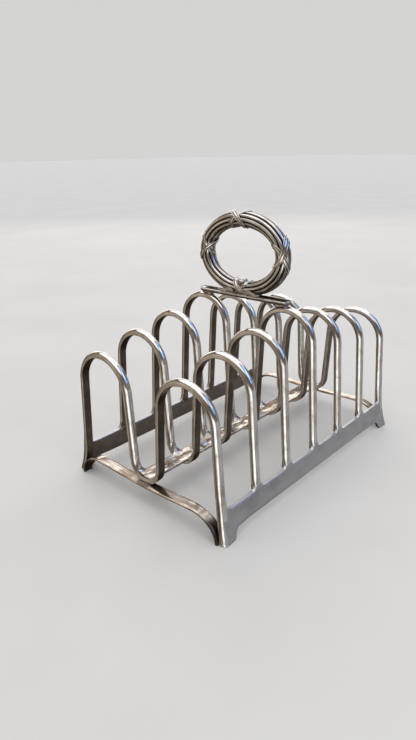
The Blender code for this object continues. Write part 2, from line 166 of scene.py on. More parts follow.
# ---- materials --------------------------------------------------------------------------------
class Nodes:
    """Short spelling for building a node tree."""

    def __init__(self, material):
        material.use_nodes = True
        self.tree = material.node_tree
        self.shader = self.tree.nodes.get("Principled BSDF") or self.tree.nodes["Background"]
        self.place = self.tree.nodes.new("ShaderNodeTexCoord").outputs["Object"]
        flow = self.tree.nodes.new("ShaderNodeCombineXYZ")
        self.link(self.attribute("along"), flow.inputs["X"])
        self.link(self.attribute("around"), flow.inputs["Y"])
        self.flow = flow.outputs[0]

    def link(self, source, target):
        self.tree.links.new(source, target)

    def noise(self, scale, detail=4.0, stretch=(1, 1, 1), rough=0.55, distort=0.0, flow=False):
        """Noise over the piece's place, or along and around it where flow is true."""
        mapping = self.tree.nodes.new("ShaderNodeMapping")
        mapping.inputs["Scale"].default_value = stretch
        self.link(self.flow if flow else self.place, mapping.inputs["Vector"])
        node = self.tree.nodes.new("ShaderNodeTexNoise")
        node.inputs["Scale"].default_value = scale
        node.inputs["Detail"].default_value = detail
        node.inputs["Roughness"].default_value = rough
        node.inputs["Distortion"].default_value = distort
        self.link(mapping.outputs["Vector"], node.inputs["Vector"])
        return node.outputs["Fac"]

    def attribute(self, name):
        node = self.tree.nodes.new("ShaderNodeAttribute")
        node.attribute_name = name
        return node.outputs["Fac"]

    def math(self, operation, a, b=0.0, clamp=False):
        node = self.tree.nodes.new("ShaderNodeMath")
        node.operation = operation
        node.use_clamp = clamp
        for socket, value in zip(node.inputs, (a, b)):
            if isinstance(value, (int, float)):
                socket.default_value = value
            else:
                self.link(value, socket)
        return node.outputs[0]

    def span(self, value, low, high, to_low=0.0, to_high=1.0):
        node = self.tree.nodes.new("ShaderNodeMapRange")
        node.interpolation_type = "SMOOTHSTEP"
        for name, number in (("From Min", low), ("From Max", high), ("To Min", to_low), ("To Max", to_high)):
            node.inputs[name].default_value = number
        self.link(value, node.inputs["Value"])
        return node.outputs["Result"]

    def mix(self, factor, a, b):
        node = self.tree.nodes.new("ShaderNodeMix")
        node.data_type = "RGBA"
        for socket, value in ((node.inputs[0], factor), (node.inputs[6], a), (node.inputs[7], b)):
            if isinstance(value, (int, float, tuple)):
                socket.default_value = value if not isinstance(value, tuple) else (*value, 1.0)
            else:
                self.link(value, socket)
        return node.outputs[2]

    def bump(self, height, distance, strength=1.0, normal=None):
        node = self.tree.nodes.new("ShaderNodeBump")
        node.inputs["Distance"].default_value = distance
        node.inputs["Strength"].default_value = strength
        self.link(height, node.inputs["Height"])
        if normal:
            self.link(normal, node.inputs["Normal"])
        return node.outputs["Normal"]


# scales of the noises, per metre
PATCH_SCALE, SPECK_SCALE, STREAK_SCALE = 110.0, 420.0, 900.0
SHADE_TARNISH_EDGE_SCALE, HAIRLINE_SCALE = 150.0, 2600.0
DENT_SCALE, DENT_DEPTH = 60.0, 0.30 * MM
FINE_DENT_SCALE, FINE_DENT_DEPTH = 260.0, 0.05 * MM
SCRATCH_DEPTH = 0.012 * MM


def silver(name, bright, warm, dark, roughness, patchy, streaks):
    """Plated silver: a clean colour, warm tarnish in patches and long streaks, and the per-point darkening,
    painted shade with some tarnish, toward the dark colour.
    """
    material = bpy.data.materials.new(name)
    nodes = Nodes(material)
    patches = nodes.span(nodes.noise(PATCH_SCALE, 6.0, distort=0.9), 0.44, 0.66)
    specks = nodes.span(nodes.noise(SPECK_SCALE, 3.0), 0.56, 0.74)
    lines = nodes.span(nodes.noise(STREAK_SCALE, 3.0, stretch=(0.06, 1, 1), flow=True), 0.45, 0.62)
    tarnish = nodes.math("ADD", patches, nodes.math("MULTIPLY", specks, 0.35))
    tarnish = nodes.math("MULTIPLY", tarnish, patchy)
    tarnish = nodes.math("ADD", tarnish, nodes.math("MULTIPLY", lines, streaks), clamp=True)
    colour = nodes.mix(tarnish, bright, warm)
    # the per-point darkening, painted shade with some tarnish, given a ragged edge
    ragged = nodes.span(nodes.noise(SHADE_TARNISH_EDGE_SCALE, 4.0), 0.2, 0.75, 0.86, 1.06)
    shade_and_tarnish = nodes.math("MULTIPLY", nodes.attribute("shade_and_tarnish"), ragged, clamp=True)
    nodes.link(nodes.mix(shade_and_tarnish, colour, dark), nodes.shader.inputs["Base Color"])
    hairlines = nodes.noise(HAIRLINE_SCALE, 3.0, stretch=(0.05, 1, 1), rough=0.6, flow=True)
    rough = nodes.span(hairlines, 0.3, 0.8, roughness, roughness + 0.08)
    rough = nodes.math("ADD", rough, nodes.math("MULTIPLY", tarnish, 0.10))
    rough = nodes.math("ADD", rough, nodes.math("MULTIPLY", shade_and_tarnish, 0.18), clamp=True)
    nodes.link(rough, nodes.shader.inputs["Roughness"])
    nodes.shader.inputs["Metallic"].default_value = 1.0
    dents = nodes.bump(nodes.noise(DENT_SCALE, 2.0), DENT_DEPTH, 0.4)
    dents = nodes.bump(nodes.noise(FINE_DENT_SCALE, 2.0), FINE_DENT_DEPTH, 0.5, dents)
    nodes.link(nodes.bump(hairlines, SCRATCH_DEPTH, 1.0, dents), nodes.shader.inputs["Normal"])
    return material


# dark is the colour that the painted shade, with some tarnish, mixes toward
HOOP_SILVER = silver("hoop_silver", bright=(0.85, 0.84, 0.82), warm=(0.42, 0.35, 0.29),
                     dark=(0.15, 0.115, 0.085), roughness=0.08, patchy=0.4, streaks=0.5)
BAR_SILVER = silver("bar_silver", bright=(0.76, 0.69, 0.61), warm=(0.32, 0.24, 0.17),
                    dark=(0.05, 0.038, 0.028), roughness=0.12, patchy=0.6, streaks=0.8)
RAIL_SILVER = silver("rail_silver", bright=(0.62, 0.61, 0.61), warm=(0.46, 0.45, 0.44),
                     dark=(0.23, 0.17, 0.12), roughness=0.32, patchy=0.45, streaks=0.3)
CAST_SILVER = silver("cast_silver", bright=(0.76, 0.73, 0.69), warm=(0.40, 0.34, 0.28),
                     dark=(0.012, 0.009, 0.007), roughness=0.12, patchy=0.5, streaks=0.45)


# ---- hoops ------------------------------------------------------------------------------------
ARC_STEPS = 18
CORNER_STEPS = 3
FLAT_STEPS = 4
# painted shade at the wire's corners, reached across the flanks from none on the ridge
CORNER_SHADE = 0.45
LEAN_OUT = math.atan(OUTER_LEG_LEAN)
LEAN_IN = math.atan(INNER_LEG_LEAN)
LEG_SUNK = 0.6 * MM               # how far the leg of a middle hoop starts below the rail's top
LOW_LEG = 6 * MM                  # height above the rail up to which a leg has close stations
TIP_STATIONS = [0.0, 0.15 * MM, 0.4 * MM, 0.7 * MM]
OUTER_LEG_FROM = 0.85 * OUTER_LEG_X
FLUSH_HEIGHT = 5.5 * MM           # over this height a leg flattens to lie flush with the rail
FLUSH_LIFT = RAIL_OUTER_X - OUTER_LEG_X - 0.05 * MM
CREASE_TOP, CREASE_FADE = 26 * MM, 16 * MM
TIP_HEIGHT, TIP_SHRINK = 0.9 * MM, 0.05
WIRE_UNEVEN, WIRE_UNEVEN_SIZE = 0.012, 9 * MM
SOLDER_LUMP, SOLDER_LUMP_SIZE = 0.4 * MM, 1.7 * MM


def wire_profile():
    """(u, v, darkening) round the wire: u along Y as a share of the half width, v outward in metres. The
    darkening is painted shade: none on the ridge, rising across the flanks and corners to full on the flat
    face.
    """
    base = WIRE_CORNER - WIRE_THICK / 2
    half = WIRE_WIDTH / 2
    points = []
    for angle in linear(0.0, math.pi, ARC_STEPS):
        v = base + (WIRE_THICK - WIRE_CORNER) * math.sin(angle)
        points.append((math.cos(angle), v, CORNER_SHADE * abs(math.cos(angle)) ** 3))
    left = []
    for angle in linear(0.0, math.pi / 2, CORNER_STEPS)[1:]:
        u = 1 - WIRE_CORNER / half * (1 - math.cos(angle))
        dark = CORNER_SHADE + (1 - CORNER_SHADE) * angle / math.pi * 2
        left.append((-u, base - WIRE_CORNER * math.sin(angle), dark))
    flat_edge = 1 - WIRE_CORNER / half
    flat = [(u, -WIRE_THICK / 2, 1.0) for u in linear(-flat_edge, flat_edge, FLAT_STEPS)[1:-1]]
    right = [(-u, v, dark) for u, v, dark in reversed(left)]
    return points + left + flat + right


PROFILE = wire_profile()


def arch_radius(top):
    """Radius of the wire's middle line in an arch whose outside reaches the height top."""
    rise = top - WIRE_THICK / 2 - RAIL_TOP
    lean_sum = OUTER_LEG_LEAN + INNER_LEG_LEAN
    return (OUTER_LEG_X - INNER_LEG_X - lean_sum * rise) / (
        1 / math.cos(LEAN_OUT) + 1 / math.cos(LEAN_IN) - lean_sum)


def foot_flare(z):
    """How much of the foot's splay and spread is reached at a height: 1 on the table."""
    return max(0.0, 1 - z / FOOT_SPLAY_START) ** 2


def outer_leg_x(z):
    return OUTER_LEG_X - OUTER_LEG_LEAN * (z - RAIL_TOP)


def hoop_path(top, is_end):
    """Right half of a hoop, from its outer foot to the bottom of the middle U: (point, outward)."""
    radius = arch_radius(top)
    centre_z = top - WIRE_THICK / 2 - radius
    centre_x = outer_leg_x(centre_z) - radius / math.cos(LEAN_OUT)
    leg = Vector((1, 0, OUTER_LEG_LEAN)).normalized()
    heights = linear(0.0 if is_end else RAIL_TOP - LEG_SUNK, RAIL_TOP + LOW_LEG, 22)
    if is_end:
        heights = TIP_STATIONS + heights[1:]
    path = []
    for z in heights:
        splay = FOOT_SPLAY * foot_flare(z) if is_end else 0.0
        path.append((Vector((outer_leg_x(z) + splay, 0, z)), leg))
    straight_end = centre_z + radius * math.sin(LEAN_OUT)
    for z in linear(RAIL_TOP + LOW_LEG, straight_end, 10)[1:-1]:
        path.append((Vector((outer_leg_x(z), 0, z)), leg))
    for angle in linear(LEAN_OUT, math.pi - LEAN_IN, 44):
        outward = Vector((math.cos(angle), 0, math.sin(angle)))
        path.append((Vector((centre_x, 0, centre_z)) + outward * radius, outward))
    bottom = U_BOTTOM + WIRE_THICK / 2
    u_radius = math.cos(LEAN_IN) * (INNER_LEG_X + INNER_LEG_LEAN * (bottom - RAIL_TOP)) / (
        1 - math.cos(LEAN_IN) * INNER_LEG_LEAN)
    u_centre = Vector((0, 0, bottom + u_radius))
    arm = Vector((math.cos(-LEAN_IN), 0, math.sin(-LEAN_IN)))
    first, last = path[-1][0], u_centre + arm * u_radius
    for share in linear(0.0, 1.0, 12)[1:-1]:
        path.append((first.lerp(last, share), -arm))
    for angle in linear(-LEAN_IN, -math.pi / 2, 18):
        arm = Vector((math.cos(angle), 0, math.sin(angle)))
        path.append((u_centre + arm * u_radius, -arm))
    return path


def mirror_x(vector):
    return Vector((-vector.x, vector.y, vector.z))


def build_hoop(index):
    """One hoop: half-round wire whose middle legs end flush on the rail and whose end legs are feet."""
    is_end = index in (0, len(HOOPS) - 1)
    y = HOOP_Y[index]
    away = -1.0 if y < 0 else 1.0
    right = hoop_path(HOOP_TOP[index], is_end)
    left = [(mirror_x(point), mirror_x(outward)) for point, outward in reversed(right[:-1])]
    rings = []
    for point, outward in right + left:
        on_leg = abs(point.x) > OUTER_LEG_FROM
        on_foot = on_leg and is_end
        flush = smooth_step(1 - (point.z - RAIL_TOP) / FLUSH_HEIGHT) if on_leg and not is_end else 0.0
        toe = foot_flare(point.z) if on_foot else 0.0
        crease = smooth_step((CREASE_TOP - point.z) / CREASE_FADE) if on_foot else 0.0
        shrink = 1 - TIP_SHRINK * max(0.0, 1 - point.z / TIP_HEIGHT) ** 2 if on_foot else 1.0
        uneven = 1 + WIRE_UNEVEN * wobble(Vector((point.x, y, point.z)), WIRE_UNEVEN_SIZE, 2.0)
        ring = []
        for u, v, _ in PROFILE:
            on_round_side = v > -WIRE_THICK / 2
            across = u * (WIRE_WIDTH / 2 * uneven)
            if toe and u > 0:
                across += FOOT_TOE * toe * u
            lift = v * uneven
            if crease and -1.0 < u < FOOT_CREASE and on_round_side:
                lift += (WIRE_THICK / 2 - lift) * crease * smooth_step((1 + u) * 6)
            across *= shrink
            lift *= shrink
            if flush and on_round_side:
                lift += (FLUSH_LIFT - lift) * flush * (1 - abs(u) ** 12)
            place = point + Vector((0, y + away * across, 0)) + outward * lift
            if flush and v < 0:
                lump = 0.3 + wobble(place, SOLDER_LUMP_SIZE, index + 1.0)
                place -= outward * (lump * SOLDER_LUMP * flush)
            ring.append(place)
        rings.append(ring)
    shade_and_tarnish = [[dark for _, _, dark in PROFILE]] * len(rings)
    obj = build(f"hoop_wire_{index + 1}", rings, shade_and_tarnish)
    return settle(obj, HOOP_SILVER, "bright_silver", HOOPS[index])


# ---- side rails -------------------------------------------------------------------------------
RAIL_STEP = 0.55 * MM
RAIL_EDGE = 0.35 * MM
FOOT_ROUND = 2.2 * MM
FOOT_TIP = [(0.0, 1.1 * MM), (0.3 * MM, 0.45 * MM), (0.9 * MM, 0.1 * MM)]   # (inset from the end, height)
FILLET_START = 1.8 * MM           # how far from a leg's middle its fillet starts to come down
FILLET_REACH = 2.4 * MM
FILLET_HEIGHT = 2.3 * MM
LEAN_START_Y, LEAN_FADE = 55 * MM, 16 * MM     # beyond this the plate leans with the end hoop's leg
END_START_Y = 72 * MM                          # beyond this it lies in the end hoop's leg
END_PROUD = 0.3 * MM
END_SINK, END_SINK_Z, END_SINK_FADE = 0.75 * MM, 8 * MM, 9 * MM


def rail_outline():
    """(y, bottom z) stations along one half of the rail, from the end to the middle."""
    end_y = abs(HOOP_Y[0]) + (FOOT_CREASE - 0.15) * WIRE_WIDTH / 2
    stations = [(end_y - inset, z) for inset, z in FOOT_TIP] + [(RAIL_FOOT_INNER_Y + FOOT_ROUND, 0.0)]
    for angle in linear(0.0, math.pi / 2, 7)[1:]:
        y = RAIL_FOOT_INNER_Y + FOOT_ROUND * (1 - math.sin(angle))
        stations.append((y, FOOT_ROUND * (1 - math.cos(angle))))
    for angle in linear(0.0, math.pi / 2, 10)[1:]:
        y = COVE_START_Y - COVE_RADIUS * (1 - math.cos(angle))
        stations.append((y, RAIL_BOTTOM - (RAIL_BOTTOM - FOOT_ROUND) * (1 - math.sin(angle))))
    return stations


def rail_top(y):
    """Height of the rail's top edge, with a concave fillet climbing both sides of each leg."""
    lift = 0.0
    for hoop_y in HOOP_Y:
        reach = (abs(y - hoop_y) - FILLET_START) / FILLET_REACH
        if reach < 1:
            lift = max(lift, FILLET_HEIGHT * (1 - max(0.0, reach)) ** 2.2)
    return RAIL_TOP + lift


def rail_section(bottom, top):
    """(x, z, darkening) round the plate: outer face, top edge, inner face, bottom edge. The darkening is
    painted shade on the inner face and the bottom edge.
    """
    outer, inner, edge = RAIL_OUTER_X, RAIL_OUTER_X - RAIL_THICK, RAIL_EDGE
    points = [(outer, z, 0.0) for z in linear(bottom + edge, RAIL_TOP - edge, 8)]
    for angle in linear(0.0, math.pi / 2, 3):
        points.append((outer - edge * (1 - math.cos(angle)), top - edge * (1 - math.sin(angle)), 0.0))
    for angle in linear(math.pi / 2, 0.0, 3):
        points.append((inner + edge * (1 - math.cos(angle)), top - edge * (1 - math.sin(angle)), 0.0))
    points += [(inner, z, 0.9) for z in linear(RAIL_TOP - edge, bottom + edge, 8)]
    for angle in linear(0.0, math.pi / 2, 2)[1:]:
        points.append((inner + edge * (1 - math.cos(angle)), bottom + edge * (1 - math.sin(angle)), 0.8))
    for angle in linear(math.pi / 2, 0.0, 2)[:-1]:
        points.append((outer - edge * (1 - math.cos(angle)), bottom + edge * (1 - math.sin(angle)), 0.3))
    return points


def rail_lean(y, z):
    """How far the plate leans inward, following the legs of the end hoops toward its ends."""
    follow = 1.0 if z > RAIL_TOP else smooth_step((abs(y) - LEAN_START_Y) / LEAN_FADE)
    lean = OUTER_LEG_LEAN * (z - RAIL_TOP) * follow
    if abs(y) > END_START_Y:
        lean += END_SINK * smooth_step((z - END_SINK_Z) / END_SINK_FADE) - END_PROUD
    return lean


def build_side_rail(name, side):
    """Flat plate on edge with a bracket foot at each end."""
    half = rail_outline()
    last_y = half[-1][0]
    count = int(last_y / RAIL_STEP)
    half += [(last_y * (1 - i / count), RAIL_BOTTOM) for i in range(1, count + 1)]
    rings, shade_and_tarnish = [], []
    for y, bottom in [(-y, z) for y, z in half] + list(reversed(half[:-1])):
        section = rail_section(bottom, rail_top(y))
        rings.append([Vector((side * (x + FOOT_SPLAY * foot_flare(z) - rail_lean(y, z)), y, z))
                      for x, z, _ in section])
        shade_and_tarnish.append([dark for _, _, dark in section])
    obj = build(name + "_plate", rings, shade_and_tarnish)
    return settle(obj, RAIL_SILVER, "satin_silver", name)


# ---- end bars and centre bar ------------------------------------------------------------------
BAR_EDGE = 0.4 * MM
END_BAR_SAG = 1.1 * MM
END_BAR_TILT = 0.5 * MM
END_BAR_FADE = 8 * MM             # length over which the flat middle passes into a bend
BAR_UNEVEN, BAR_UNEVEN_SIZE = 0.07 * MM, 7 * MM
BAR_NOISE_Y = 40 * MM             # where each end bar takes its unevenness from the noise
# painted shade where the end bars bend down to their feet and under the U bends
FOOT_SHADE_X, FOOT_SHADE_FADE = 38 * MM, 6 * MM
BEND_SHADE_HALF = 2.5 * MM
CUSP_REACH = 5.4 * MM             # how far from a hoop's middle a solder cusp starts to rise
CUSP_HALF_WIDTH = 5.2 * MM
CUSP_HEIGHT_LEFT, CUSP_HEIGHT_RIGHT = 3.3 * MM, 1.6 * MM
GUTTER_DISH = 0.55 * MM
GUTTER_PROUD = 0.1 * MM           # how much wider than the solid it is on either side
GUTTER_SUNK = 0.1 * MM            # how far its rim lies below the rails' tops
GUTTER_LONGER = 0.6 * MM          # at each end, to run into the end bends
GUTTER_WIDER, GUTTER_WIDER_RISE = 0.7 * MM, 1.1 * MM
GUTTER_UNEVEN, GUTTER_UNEVEN_SIZE = 0.12 * MM, 4 * MM
GUTTER_STEPS = 420


def strip_section(centre, up, low, high, thick, edge):
    """Rounded flat strip section from low to high along Y, with (point, darkening) pairs; the underside is
    darkened as painted shade.
    """
    half = thick / 2
    points = []
    corners = [(high - edge, half - edge, 0.0), (low + edge, half - edge, math.pi / 2),
               (low + edge, edge - half, math.pi), (high - edge, edge - half, 1.5 * math.pi)]
    for y, lift, start in corners:
        for angle in linear(start, start + math.pi / 2, 3):
            place = centre + up * (lift + edge * math.sin(angle)) + Vector((0, y + edge * math.cos(angle), 0))
            points.append((place, 0.75 if lift < 0 and math.sin(angle) < -0.5 else 0.0))
        if start == 0.0:
            for y_mid in linear(high - edge, low + edge, 5)[1:-1]:
                points.append((centre + up * half + Vector((0, y_mid, 0)), 0.0))
    return points


def end_bar_shade(x):
    """Painted shade where the strip bends down to its feet, and under the U bend at its middle."""
    by_foot = smooth_step((abs(x) - FOOT_SHADE_X) / FOOT_SHADE_FADE)
    under_bend = smooth_step(2 - abs(x) / BEND_SHADE_HALF)
    return 0.9 * by_foot + 0.6 * under_bend


def end_bar_path(bend_z):
    """Right half of an end bar, from its tip on the table to its middle: (point, up)."""
    half = []
    for angle in linear(math.pi / 2, 0.0, 28):
        point = Vector((END_BAR_FLAT_X + END_BAR_BEND_X * math.sin(angle), 0, bend_z * math.cos(angle)))
        up = Vector((math.sin(angle) / END_BAR_BEND_X, 0, math.cos(angle) / bend_z)).normalized()
        half.append((point, up))
    for x in linear(END_BAR_FLAT_X, 0.0, 28)[1:]:
        drop = END_BAR_SAG * (1 - smooth_step(x / END_BAR_FLAT_X))
        half.append((Vector((x, 0, bend_z - drop)), Vector((0, 0, 1))))
    return half


def build_end_bar(name, side):
    """Flat strip between two feet, its inner edge a little higher than its outer one."""
    low_corner, high_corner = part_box(name)
    middle_y = (low_corner.y + high_corner.y) / 2
    half = end_bar_path(high_corner.z - BAR_THICK / 2)
    left = [(mirror_x(point), mirror_x(up)) for point, up in reversed(half[:-1])]
    rings, shade_and_tarnish = [], []
    for point, up in half + left:
        section = strip_section(point, up, low_corner.y, high_corner.y, BAR_THICK, BAR_EDGE)
        flat = smooth_step((END_BAR_FLAT_X + END_BAR_FADE / 2 - abs(point.x)) / END_BAR_FADE)
        ring = []
        for place, _ in section:
            rise = side * (middle_y - place.y) / (high_corner.y - low_corner.y) * END_BAR_TILT * flat
            uneven = BAR_UNEVEN * wobble(Vector((place.x, side * BAR_NOISE_Y, 0)), BAR_UNEVEN_SIZE, 5.0)
            ring.append(place + Vector((0, 0, rise + uneven * flat)))
        rings.append(ring)
        shade_and_tarnish.append([max(dark, end_bar_shade(point.x)) for _, dark in section])
    obj = build(name + "_strip", rings, shade_and_tarnish)
    return settle(obj, BAR_SILVER, "bright_silver", name)


def solder_rise(x, y):
    """How far the centre bar's edge climbs the bend of a nearby hoop, in a pointed cusp."""
    gap = min(abs(y - hoop_y) for hoop_y in HOOP_Y)
    near = max(0.0, 1 - gap / CUSP_REACH) ** 2.4
    height = CUSP_HEIGHT_LEFT if x < 0 else CUSP_HEIGHT_RIGHT
    return height * near * min(1.0, abs(x) / CUSP_HALF_WIDTH) ** 5


def gutter_section(y, half_width, top, bottom):
    """(x, z, darkening) round the centre bar at y: dished top, left edge, underside, right edge. The
    darkening is painted shade: on the edges, most on the underside, and a little on the top beside the solder
    cusps.
    """
    edge = (top - bottom) / 2
    near = solder_rise(half_width, y) / GUTTER_WIDER_RISE
    wide = half_width + GUTTER_PROUD + GUTTER_WIDER * near

    def soldered(points):
        return [(x, z + solder_rise(x, y), dark) for x, z, dark in points]

    # a little painted shade on the top beside the solder cusps
    upper = [(share * (wide - edge), top - GUTTER_DISH * (1 - share ** 2), 0.25 * near * abs(share) ** 3)
             for share in linear(1.0, -1.0, 16)]
    left = [(edge - wide + edge * math.cos(angle), top - edge + edge * math.sin(angle), 0.3)
            for angle in linear(math.pi / 2, math.pi * 1.5, 6)[1:-1]]
    under = [(x, bottom - GUTTER_DISH / 2, 0.9) for x in linear(edge - wide, wide - edge, 6)]
    right = [(wide - edge + edge * math.cos(angle), top - edge + edge * math.sin(angle), 0.3)
             for angle in linear(-math.pi / 2, math.pi / 2, 6)[1:-1]]
    return soldered(upper + left) + under + soldered(right)


def build_centre_bar():
    """Shallow gutter that lies in the bends of the hoops, soldered to each of them."""
    low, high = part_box("centre_bar")
    end_y = high.y + GUTTER_LONGER
    rings, shade_and_tarnish = [], []
    for y in linear(-end_y, end_y, GUTTER_STEPS):
        section = gutter_section(y, high.x, RAIL_TOP - GUTTER_SUNK, low.z)
        ring = []
        for x, z, _ in section:
            place = Vector((x, y, z))
            ring.append(place + Vector((0, 0, GUTTER_UNEVEN * wobble(place, GUTTER_UNEVEN_SIZE, 4.0))))
        rings.append(ring)
        shade_and_tarnish.append([dark for _, _, dark in section])
    obj = build("centre_bar_strip", rings, shade_and_tarnish)
    return settle(obj, BAR_SILVER, "bright_silver", "centre_bar")


FILL_HEIGHT = 4.0 * MM
FILL_WIDEST = 2.4 * MM            # how far the solder reaches inward from the leg at the table
FILL_FRONT, FILL_FRONT_SLOPE = 78.9 * MM, 1.4 * MM
FILL_BACK, FILL_BACK_SLOPE = 74.0 * MM, 0.4 * MM


def build_foot_fill(name, side, end):
    """Solder that joins the tip of an end bar to the leg beside it."""
    rings, shade_and_tarnish = [], []
    for share in linear(0.0, 1.0, 8):
        z = FILL_HEIGHT * share
        leg = outer_leg_x(z) + FOOT_SPLAY * foot_flare(z)
        inner = leg - WIRE_THICK / 2 - FILL_WIDEST * (1 - share) ** 2
        outer = leg - 0.5 * MM
        rounding = 0.5 * MM if share else 0.9 * MM
        near, far = FILL_FRONT - FILL_FRONT_SLOPE * share, FILL_BACK - FILL_BACK_SLOPE * share
        ring = [(inner + rounding, far), (outer, far), (outer, near), (inner + rounding, near),
                (inner, near - rounding), (inner, far + rounding)]
        rings.append([Vector((side * x, end * y, z)) for x, y in ring])
        # painted shade, stronger toward the top of the solder between bar and leg
        shade_and_tarnish.append([0.15 + 0.85 * share] * len(ring))
    obj = build(name, rings, shade_and_tarnish)
    return settle(obj, HOOP_SILVER, "bright_silver", sharp=50)


# ---- handle trough ----------------------------------------------------------------------------
TROUGH_LIP_START = 0.7 * MM       # how far from its ends the trough's hollow starts
TROUGH_LIP_FADE = 1.5 * MM        # the length over which it reaches its full depth
TROUGH_END_LIFT = 0.9 * MM
TROUGH_END_RAISE, TROUGH_RAISE_REACH = 0.35 * MM, 1.6 * MM


def build_trough():
    """Shallow channel with a rolled rim, closed by a low lip at each end."""
    low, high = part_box("handle_bar")
    rim, base, half_length = high.z, low.z, high.x
    bead = TROUGH_WALL / 2
    stations = [half_length - TROUGH_END_ROUND * (1 - math.sin(angle))
                for angle in linear(math.pi / 2, 0.0, 14)]
    stations += linear(stations[-1], 0.0, 24)[1:]
    stations += [-x for x in reversed(stations[:-1])]
    rings, shade_and_tarnish = [], []
    for x in stations:
        inset = half_length - abs(x)
        share = min(1.0, inset / TROUGH_END_ROUND)
        width = max(0.3, (1 - (1 - share) ** 2.4) ** 0.6)
        depth = smooth_step((inset - TROUGH_LIP_START) / TROUGH_LIP_FADE)
        lifted = base + TROUGH_END_LIFT * (1 - share) ** 2
        top = rim + TROUGH_END_RAISE * smooth_step(1 - inset / TROUGH_RAISE_REACH)
        floor = top - bead - (top - bead - lifted - TROUGH_WALL * 0.8) * depth
        rim_y, base_y = TROUGH_HALF_WIDTH * width, TROUGH_BASE_HALF_WIDTH * width
        # painted shade: under the base, low on the outer walls, on the inner side of the rim and in the
        # channel, deeper as it goes down
        half, dark = [(0.0, lifted)], [0.7]
        for angle in linear(0.0, math.pi / 2, 6):
            half.append((base_y + (rim_y - base_y) * math.sin(angle),
                         lifted + (top - bead - lifted) * (1 - math.cos(angle))))
            dark.append(0.85 - 0.6 * math.sin(angle) ** 2)
        for angle in linear(0.0, math.pi, 8)[1:]:
            half.append((rim_y - bead + bead * math.cos(angle), top - bead + bead * math.sin(angle)))
            dark.append(0.0 if angle < 2.0 else 0.8 * depth)
        inner_y = rim_y - 2 * bead
        for step in linear(0.0, 1.0, 6)[1:]:
            half.append((inner_y * (1 - step ** 1.5), floor + (top - bead - floor) * (1 - step) ** 2))
            dark.append(depth)
        ring = [Vector((x, y, z)) for y, z in half]
        ring += [Vector((x, -y, z)) for y, z in reversed(half[1:-1])]
        rings.append(ring)
        shade_and_tarnish.append(dark + list(reversed(dark[1:-1])))
    obj = build("handle_trough", rings, shade_and_tarnish)
    return settle(obj, CAST_SILVER, "bright_silver", "handle_bar")


SADDLE_REACH = 9.0 * MM           # how far the solder runs inward from the crown
SADDLE_END_INSET = 1.0 * MM
SADDLE_INNER_FADE, SADDLE_OUTER_FADE = 5 * MM, 1.5 * MM
SADDLE_OVERLAP = 0.45 * MM        # into the trough above
SADDLE_SUNK = 0.5 * MM            # into the crown below
SADDLE_DEPTH = 1.7 * MM
SADDLE_HALF_WIDTH, SADDLE_SWELL = 1.1, 1.2     # in millimetres
SADDLE_WAIST = 0.72


def build_saddle(name, side):
    """Solder between the middle hoop's crown and the underside of the trough."""
    top = HOOP_TOP[len(HOOPS) // 2]
    crown_x = max(hoop_path(top, False), key=lambda station: station[0].z)[0].x
    radius = arch_radius(top) + WIRE_THICK / 2
    low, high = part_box("handle_bar")
    start, end = crown_x - SADDLE_REACH, high.x - SADDLE_END_INSET
    over = low.z + SADDLE_OVERLAP
    rings, shade_and_tarnish = [], []
    for x in linear(start, end, 26):
        drop = radius - math.sqrt(radius ** 2 - (x - crown_x) ** 2)
        fade = smooth_step((x - start) / SADDLE_INNER_FADE) * smooth_step((end - x) / SADDLE_OUTER_FADE)
        under = max(top - drop - SADDLE_SUNK, low.z - SADDLE_DEPTH)
        under = over - (over - under) * (0.25 + 0.75 * fade)
        width = (SADDLE_HALF_WIDTH + SADDLE_SWELL * fade) * MM
        half = [(width * (SADDLE_WAIST + (1 - SADDLE_WAIST) * (2 * share - 1) ** 2),
                 over + (under - over) * share) for share in linear(0.0, 1.0, 6)]
        ring = [Vector((side * x, y, z)) for y, z in half]
        ring += [Vector((side * x, -y, z)) for y, z in reversed(half)]
        rings.append(ring)
        # painted shade over the whole saddle, under the trough
        shade_and_tarnish.append([0.4] * len(ring))
    obj = build(name, rings, shade_and_tarnish)
    return settle(obj, HOOP_SILVER, "bright_silver", sharp=60)


# ---- ring, ties, boss and tails ---------------------------------------------------------------
REED_COUNT = 10
REED_POINTS = 10
REED_DEPTH = 1.15 * MM
RING_STEPS = 200
# each tie's place round the ring and its crossing round the tube, in degrees, and its half spread
TIES = {"top": (95.0, 62.0, 4.6 * MM), "left": (172.0, 125.0, 5.2 * MM),
        "right": (5.0, 62.0, 6.8 * MM), "bottom": (270.0, 90.0, 5.0 * MM)}
BAND_HALF = 1.25 * MM
BAND_THICK = 0.55 * MM
BAND_RAISE = 0.30 * MM            # how far the second band of a tie lies above the first
BAND_STEPS = 72
BOTTOM_TIE_GAP = math.radians(40)
BOSS_TILT = math.radians(16.0)
BOSS_SUNK = 1.0 * MM
BOSS_RADIUS = 3.0 * MM
BOSS_POINTS = 28
TAIL_HALF_WIDTH = 1.0 * MM
TAIL_THICK = 0.8 * MM
TAIL_WAVE = 0.55 * MM


def ring_frame(angle):
    """Point, outward direction and forward direction on the ring's oval middle line."""
    point = Vector((RING_HALF_WIDTH * math.cos(angle), 0, RING_CENTRE_Z + RING_HALF_HEIGHT * math.sin(angle)))
    along = Vector((-RING_HALF_WIDTH * math.sin(angle), 0, RING_HALF_HEIGHT * math.cos(angle))).normalized()
    return point, Vector((along.z, 0, -along.x)), along


def tube_point(angle, around, radius):
    """around = 0 faces outward from the ring, 90 degrees faces the front."""
    point, outward, _ = ring_frame(angle)
    return point + outward * (radius * math.cos(around)) + Vector((0, -radius * math.sin(around), 0))


